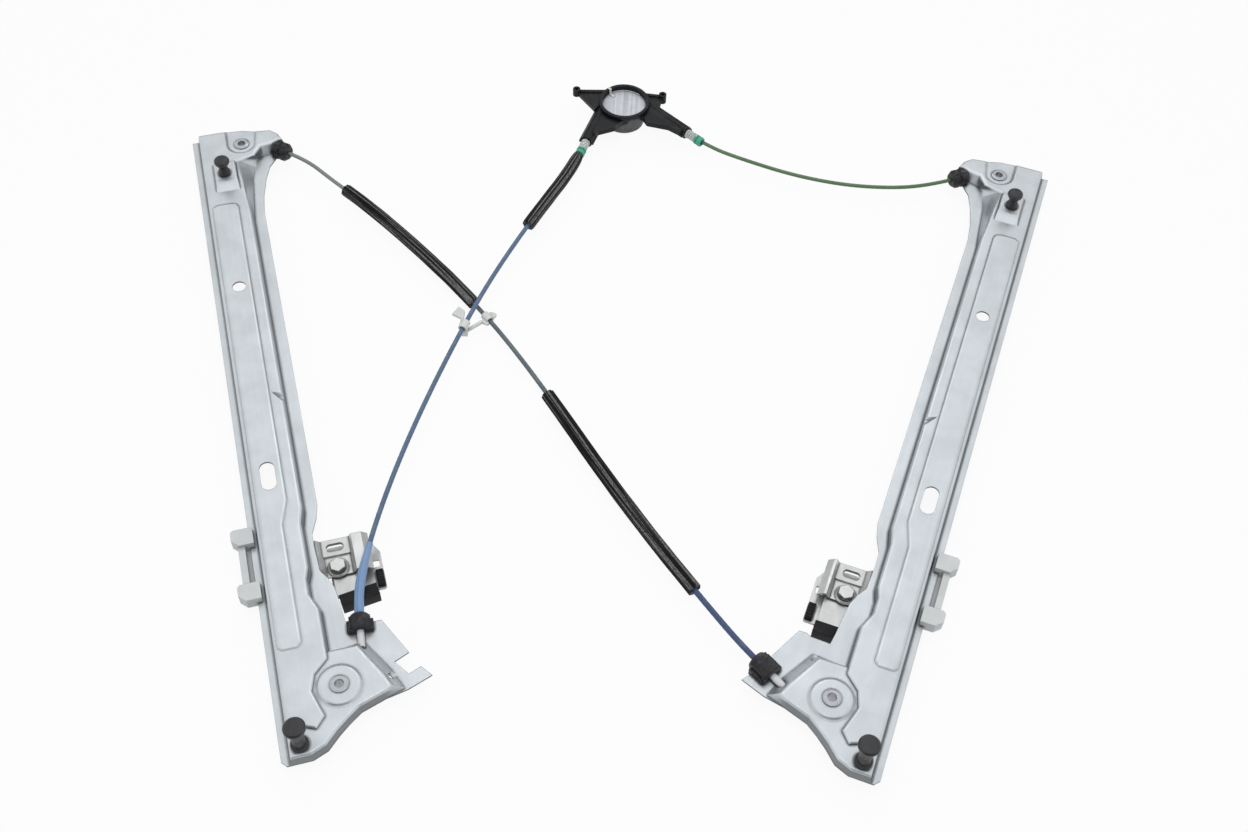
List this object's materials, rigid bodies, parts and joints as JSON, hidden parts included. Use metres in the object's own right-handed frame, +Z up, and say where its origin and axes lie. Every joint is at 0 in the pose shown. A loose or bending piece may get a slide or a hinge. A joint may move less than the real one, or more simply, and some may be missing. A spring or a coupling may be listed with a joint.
{
  "type": "window regulator",
  "caption": "Cable window regulator with twin pressed rails, sliding glass carriers, sheathed cables that cross, and a drum housing.",
  "frame": {"origin": "centre of the underside of the whole, on the surface that it lies on", "axes": "+X from the left rail to the right rail, +Y from the feet of the rails towards their heads and the drum, +Z up, away from the surface, the way the studs point"},
  "size_m": [0.7728, 0.6795, 0.0516],
  "materials": {
    "rail_steel": "satin galvanised sheet",
    "bracket_steel": "satin zinc plated sheet",
    "rivet_steel": "bright plated",
    "stud_steel": "black coated steel",
    "bolt_steel": "bright plated",
    "cable_steel": "stranded wire",
    "nipple_zinc": "cast zinc",
    "pulley_plastic": "natural acetal",
    "guide_plastic": "light grey moulding",
    "black_plastic": "black moulding",
    "housing_plastic": "black moulding, slightly worn",
    "collar_plastic": "dark grey moulding",
    "cover_plastic": "light grey disc",
    "tab_paper": "plain white tab",
    "liner_plastic": "light grey liner",
    "clear_plastic": "milky clear",
    "green_plastic": "sea green moulding",
    "conduit_grey": "smooth dark grey jacket",
    "conduit_green": "smooth grey green jacket",
    "conduit_blue": "smooth blue grey jacket",
    "guard_blue": "light blue film tube",
    "black_foam": "black closed-cell foam",
    "clip_plastic": "milky plastic",
    "cushion_rubber": "black rubber"
  },
  "bodies": {
    "base": {"bearing_sleeve": "collar_plastic", "cover_tab": "tab_paper", "cross_conduit": "conduit_grey", "cross_lower_foam": "black_foam", "cross_upper_foam": "black_foam", "crossing_clip": "clip_plastic", "drum_cover": "cover_plastic", "drum_foam": "black_foam", "drum_housing": "housing_plastic", "guard_sleeve": "guard_blue", "left_drum_cable": "cable_steel", "left_ferrule": "green_plastic", "left_foot_conduit": "conduit_blue", "left_foot_connector": "black_plastic", "left_foot_rivet": "rivet_steel", "left_foot_spout": "liner_plastic", "left_foot_stud": "stud_steel", "left_head_cap": "black_plastic", "left_head_rivet": "rivet_steel", "left_head_stud": "stud_steel", "left_rail": "rail_steel", "left_rail_cable": "cable_steel", "left_tension_spring": "clear_plastic", "right_drum_cable": "cable_steel", "right_ferrule": "green_plastic", "right_foot_connector": "black_plastic", "right_foot_rivet": "rivet_steel", "right_foot_spout": "liner_plastic", "right_foot_stud": "stud_steel", "right_head_cap": "black_plastic", "right_head_conduit": "conduit_green", "right_head_rivet": "rivet_steel", "right_head_stud": "stud_steel", "right_rail": "rail_steel", "right_rail_cable": "cable_steel", "right_tension_spring": "clear_plastic"},
    "left_carrier": {"left_guide": "guide_plastic", "left_bracket": "bracket_steel", "left_clamp_plate": "bracket_steel", "left_clamp_bolt": "bolt_steel", "left_cushion": "cushion_rubber", "left_side_pad": "cushion_rubber", "left_cable_anchor": "guide_plastic", "left_cable_nipples": "nipple_zinc"},
    "left_foot_pulley": {"left_foot_pulley": "pulley_plastic"},
    "left_head_pulley": {"left_head_pulley": "pulley_plastic"},
    "right_carrier": {"right_guide": "guide_plastic", "right_bracket": "bracket_steel", "right_clamp_plate": "bracket_steel", "right_clamp_bolt": "bolt_steel", "right_cushion": "cushion_rubber", "right_side_pad": "cushion_rubber", "right_cable_anchor": "guide_plastic", "right_cable_nipples": "nipple_zinc"},
    "right_foot_pulley": {"right_foot_pulley": "pulley_plastic"},
    "right_head_pulley": {"right_head_pulley": "pulley_plastic"},
    "cable_drum": {"cable_drum": "pulley_plastic"}
  },
  "joints": [
    {"name": "left_slide", "type": "slide", "parent": "base", "child": "left_carrier", "axis": [-0.3007, 0.9537, 0], "range_m": [-0.005, 0.38]},
    {"name": "right_slide", "type": "slide", "parent": "base", "child": "right_carrier", "axis": [0.314, 0.9494, 0], "range_m": [-0.005, 0.38]},
    {"name": "left_foot_pulley_spin", "type": "hinge", "parent": "base", "child": "left_foot_pulley", "pos_m": [-0.17097, -0.28448, 0.0189], "axis": [0, 0, 1], "continuous": true},
    {"name": "left_head_pulley_spin", "type": "hinge", "parent": "base", "child": "left_head_pulley", "pos_m": [-0.3396, 0.23905, 0.0189], "axis": [0, 0, 1], "continuous": true},
    {"name": "right_foot_pulley_spin", "type": "hinge", "parent": "base", "child": "right_foot_pulley", "pos_m": [0.1636, -0.27815, 0.0189], "axis": [0, 0, 1], "continuous": true},
    {"name": "right_head_pulley_spin", "type": "hinge", "parent": "base", "child": "right_head_pulley", "pos_m": [0.33952, 0.24296, 0.0189], "axis": [0, 0, 1], "continuous": true},
    {"name": "drum_spin", "type": "hinge", "parent": "base", "child": "cable_drum", "pos_m": [0.00051, 0.31541, 0.0189], "axis": [0, 0, 1], "continuous": true}
  ],
  "couplings": [
    {"joint": "right_slide", "follows": "left_slide", "ratio": 1},
    {"joint": "drum_spin", "follows": "left_slide", "rad_per_m": 57.143},
    {"joint": "left_foot_pulley_spin", "follows": "left_slide", "rad_per_m": -61.728},
    {"joint": "left_head_pulley_spin", "follows": "left_slide", "rad_per_m": -78.125},
    {"joint": "right_foot_pulley_spin", "follows": "left_slide", "rad_per_m": 61.728},
    {"joint": "right_head_pulley_spin", "follows": "left_slide", "rad_per_m": 78.125}
  ]
}
